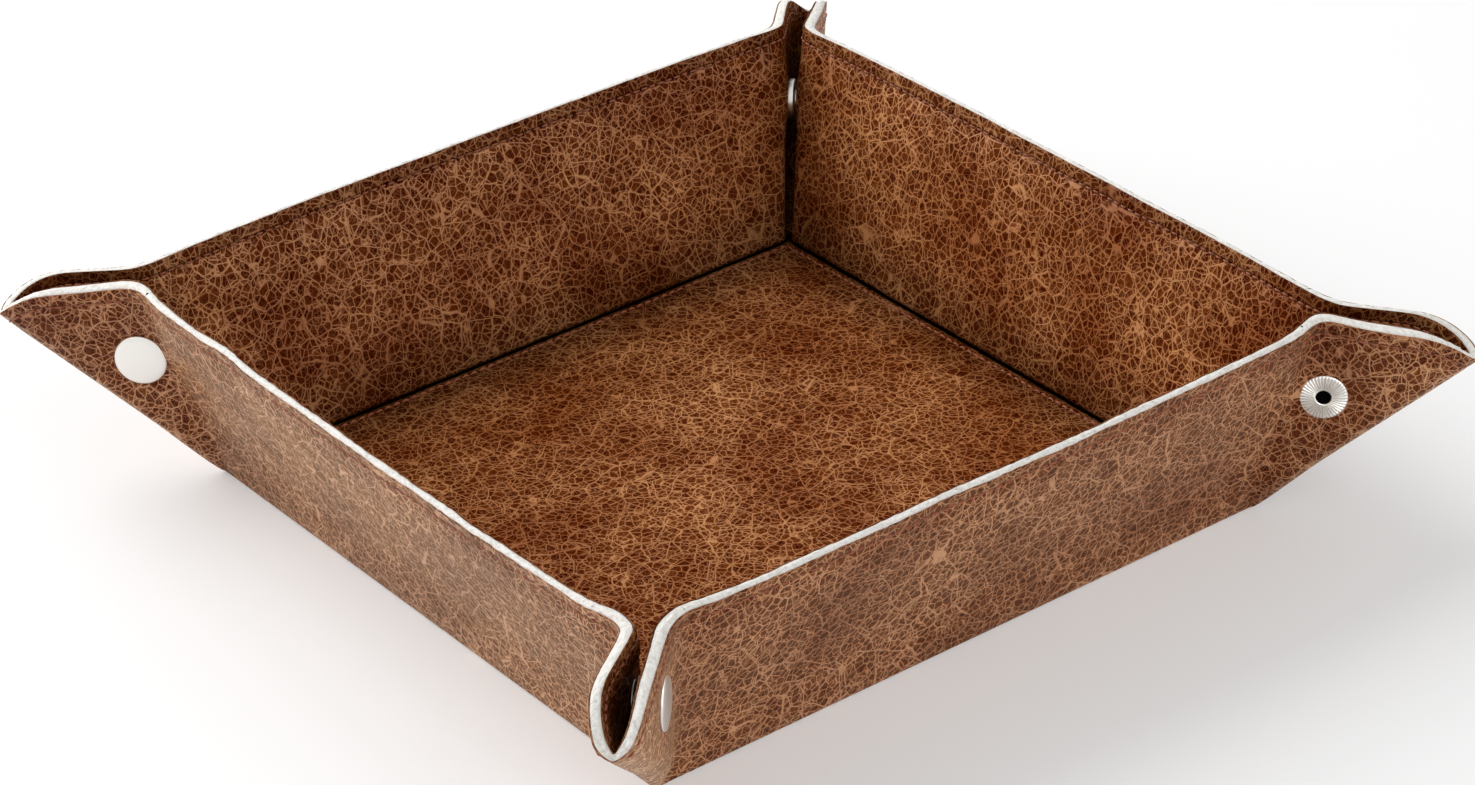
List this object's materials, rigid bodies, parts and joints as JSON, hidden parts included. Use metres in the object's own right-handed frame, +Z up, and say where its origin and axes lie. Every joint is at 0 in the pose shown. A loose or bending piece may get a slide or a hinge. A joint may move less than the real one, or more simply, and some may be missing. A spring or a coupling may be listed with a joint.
{
  "type": "foldable bread basket",
  "caption": "Square shallow basket folded up from one padded faux-leather sheet, with pinched corner ears closed by ring snaps; it unsnaps and opens flat.",
  "frame": {"origin": "centre of the underside, on the surface that the basket stands on", "axes": "+Z up; X and Y square to the four walls, -Y towards the front wall and +X towards the right wall"},
  "size_m": [0.2914, 0.2914, 0.0631],
  "materials": {
    "outer_leather": "crackle-embossed brown faux leather, semi-matt",
    "inner_leather": "crackle-embossed dark brown faux leather, semi-matt",
    "felt": "off-white needle felt, its cut edge showing round the rim",
    "satin_nickel": "satin nickel-plated brass",
    "pressed_nickel": "nickel-plated pressed brass"
  },
  "bodies": {
    "base": {"base_outer_skin": "outer_leather", "base_core": "felt", "base_inner_skin": "inner_leather"},
    "front_wall": {"front_wall_outer_skin": "outer_leather", "front_wall_core": "felt", "front_wall_inner_skin": "inner_leather"},
    "front_stud_ear": {"front_stud_ear_outer_skin": "outer_leather", "front_stud_ear_core": "felt", "front_stud_ear_inner_skin": "inner_leather", "snap_post_front_right": "pressed_nickel", "snap_stud_front_right": "pressed_nickel"},
    "front_cap_ear": {"front_cap_ear_outer_skin": "outer_leather", "front_cap_ear_core": "felt", "front_cap_ear_inner_skin": "inner_leather", "snap_cap_front_left": "satin_nickel", "snap_socket_front_left": "pressed_nickel", "snap_spring_front_left": "pressed_nickel"},
    "right_wall": {"right_wall_outer_skin": "outer_leather", "right_wall_core": "felt", "right_wall_inner_skin": "inner_leather"},
    "right_stud_ear": {"right_stud_ear_outer_skin": "outer_leather", "right_stud_ear_core": "felt", "right_stud_ear_inner_skin": "inner_leather", "snap_post_back_right": "pressed_nickel", "snap_stud_back_right": "pressed_nickel"},
    "right_cap_ear": {"right_cap_ear_outer_skin": "outer_leather", "right_cap_ear_core": "felt", "right_cap_ear_inner_skin": "inner_leather", "snap_cap_front_right": "satin_nickel", "snap_socket_front_right": "pressed_nickel", "snap_spring_front_right": "pressed_nickel"},
    "back_wall": {"back_wall_outer_skin": "outer_leather", "back_wall_core": "felt", "back_wall_inner_skin": "inner_leather"},
    "back_stud_ear": {"back_stud_ear_outer_skin": "outer_leather", "back_stud_ear_core": "felt", "back_stud_ear_inner_skin": "inner_leather", "snap_post_back_left": "pressed_nickel", "snap_stud_back_left": "pressed_nickel"},
    "back_cap_ear": {"back_cap_ear_outer_skin": "outer_leather", "back_cap_ear_core": "felt", "back_cap_ear_inner_skin": "inner_leather", "snap_cap_back_right": "satin_nickel", "snap_socket_back_right": "pressed_nickel", "snap_spring_back_right": "pressed_nickel"},
    "left_wall": {"left_wall_outer_skin": "outer_leather", "left_wall_core": "felt", "left_wall_inner_skin": "inner_leather"},
    "left_stud_ear": {"left_stud_ear_outer_skin": "outer_leather", "left_stud_ear_core": "felt", "left_stud_ear_inner_skin": "inner_leather", "snap_post_front_left": "pressed_nickel", "snap_stud_front_left": "pressed_nickel"},
    "left_cap_ear": {"left_cap_ear_outer_skin": "outer_leather", "left_cap_ear_core": "felt", "left_cap_ear_inner_skin": "inner_leather", "snap_cap_back_left": "satin_nickel", "snap_socket_back_left": "pressed_nickel", "snap_spring_back_left": "pressed_nickel"}
  },
  "joints": [
    {"name": "front_wall_fold", "type": "hinge", "parent": "base", "child": "front_wall", "pos_m": [0, -0.1, 0], "axis": [1, 0, 0], "range_deg": [0, 72]},
    {"name": "front_stud_ear_fold", "type": "hinge", "parent": "front_wall", "child": "front_stud_ear", "pos_m": [0.09388, -0.09601, 0.0013], "axis": [0.2952, -0.2952, 0.9087], "range_deg": [0, 47.74]},
    {"name": "front_cap_ear_fold", "type": "hinge", "parent": "front_wall", "child": "front_cap_ear", "pos_m": [-0.09388, -0.09601, 0.0013], "axis": [0.2952, 0.2952, -0.9087], "range_deg": [0, 47.74]},
    {"name": "right_wall_fold", "type": "hinge", "parent": "base", "child": "right_wall", "pos_m": [0.1, 0, 0], "axis": [0, 1, 0], "range_deg": [0, 72]},
    {"name": "right_stud_ear_fold", "type": "hinge", "parent": "right_wall", "child": "right_stud_ear", "pos_m": [0.09601, 0.09388, 0.0013], "axis": [0.2952, 0.2952, 0.9087], "range_deg": [0, 47.74]},
    {"name": "right_cap_ear_fold", "type": "hinge", "parent": "right_wall", "child": "right_cap_ear", "pos_m": [0.09601, -0.09388, 0.0013], "axis": [-0.2952, 0.2952, -0.9087], "range_deg": [0, 47.74]},
    {"name": "back_wall_fold", "type": "hinge", "parent": "base", "child": "back_wall", "pos_m": [0, 0.1, 0], "axis": [-1, 0, 0], "range_deg": [0, 72]},
    {"name": "back_stud_ear_fold", "type": "hinge", "parent": "back_wall", "child": "back_stud_ear", "pos_m": [-0.09388, 0.09601, 0.0013], "axis": [-0.2952, 0.2952, 0.9087], "range_deg": [0, 47.74]},
    {"name": "back_cap_ear_fold", "type": "hinge", "parent": "back_wall", "child": "back_cap_ear", "pos_m": [0.09388, 0.09601, 0.0013], "axis": [-0.2952, -0.2952, -0.9087], "range_deg": [0, 47.74]},
    {"name": "left_wall_fold", "type": "hinge", "parent": "base", "child": "left_wall", "pos_m": [-0.1, 0, 0], "axis": [0, -1, 0], "range_deg": [0, 72]},
    {"name": "left_stud_ear_fold", "type": "hinge", "parent": "left_wall", "child": "left_stud_ear", "pos_m": [-0.09601, -0.09388, 0.0013], "axis": [-0.2952, -0.2952, 0.9087], "range_deg": [0, 47.74]},
    {"name": "left_cap_ear_fold", "type": "hinge", "parent": "left_wall", "child": "left_cap_ear", "pos_m": [-0.09601, 0.09388, 0.0013], "axis": [0.2952, -0.2952, -0.9087], "range_deg": [0, 47.74]}
  ],
  "couplings": [
    {"joint": "front_stud_ear_fold", "follows": "front_wall_fold", "ratio": 0.66305},
    {"joint": "front_cap_ear_fold", "follows": "front_wall_fold", "ratio": 0.66305},
    {"joint": "right_stud_ear_fold", "follows": "front_wall_fold", "ratio": 0.66305},
    {"joint": "right_cap_ear_fold", "follows": "front_wall_fold", "ratio": 0.66305},
    {"joint": "right_wall_fold", "follows": "front_wall_fold", "ratio": 1},
    {"joint": "back_stud_ear_fold", "follows": "front_wall_fold", "ratio": 0.66305},
    {"joint": "back_cap_ear_fold", "follows": "front_wall_fold", "ratio": 0.66305},
    {"joint": "back_wall_fold", "follows": "front_wall_fold", "ratio": 1},
    {"joint": "left_stud_ear_fold", "follows": "front_wall_fold", "ratio": 0.66305},
    {"joint": "left_cap_ear_fold", "follows": "front_wall_fold", "ratio": 0.66305},
    {"joint": "left_wall_fold", "follows": "front_wall_fold", "ratio": 1}
  ]
}
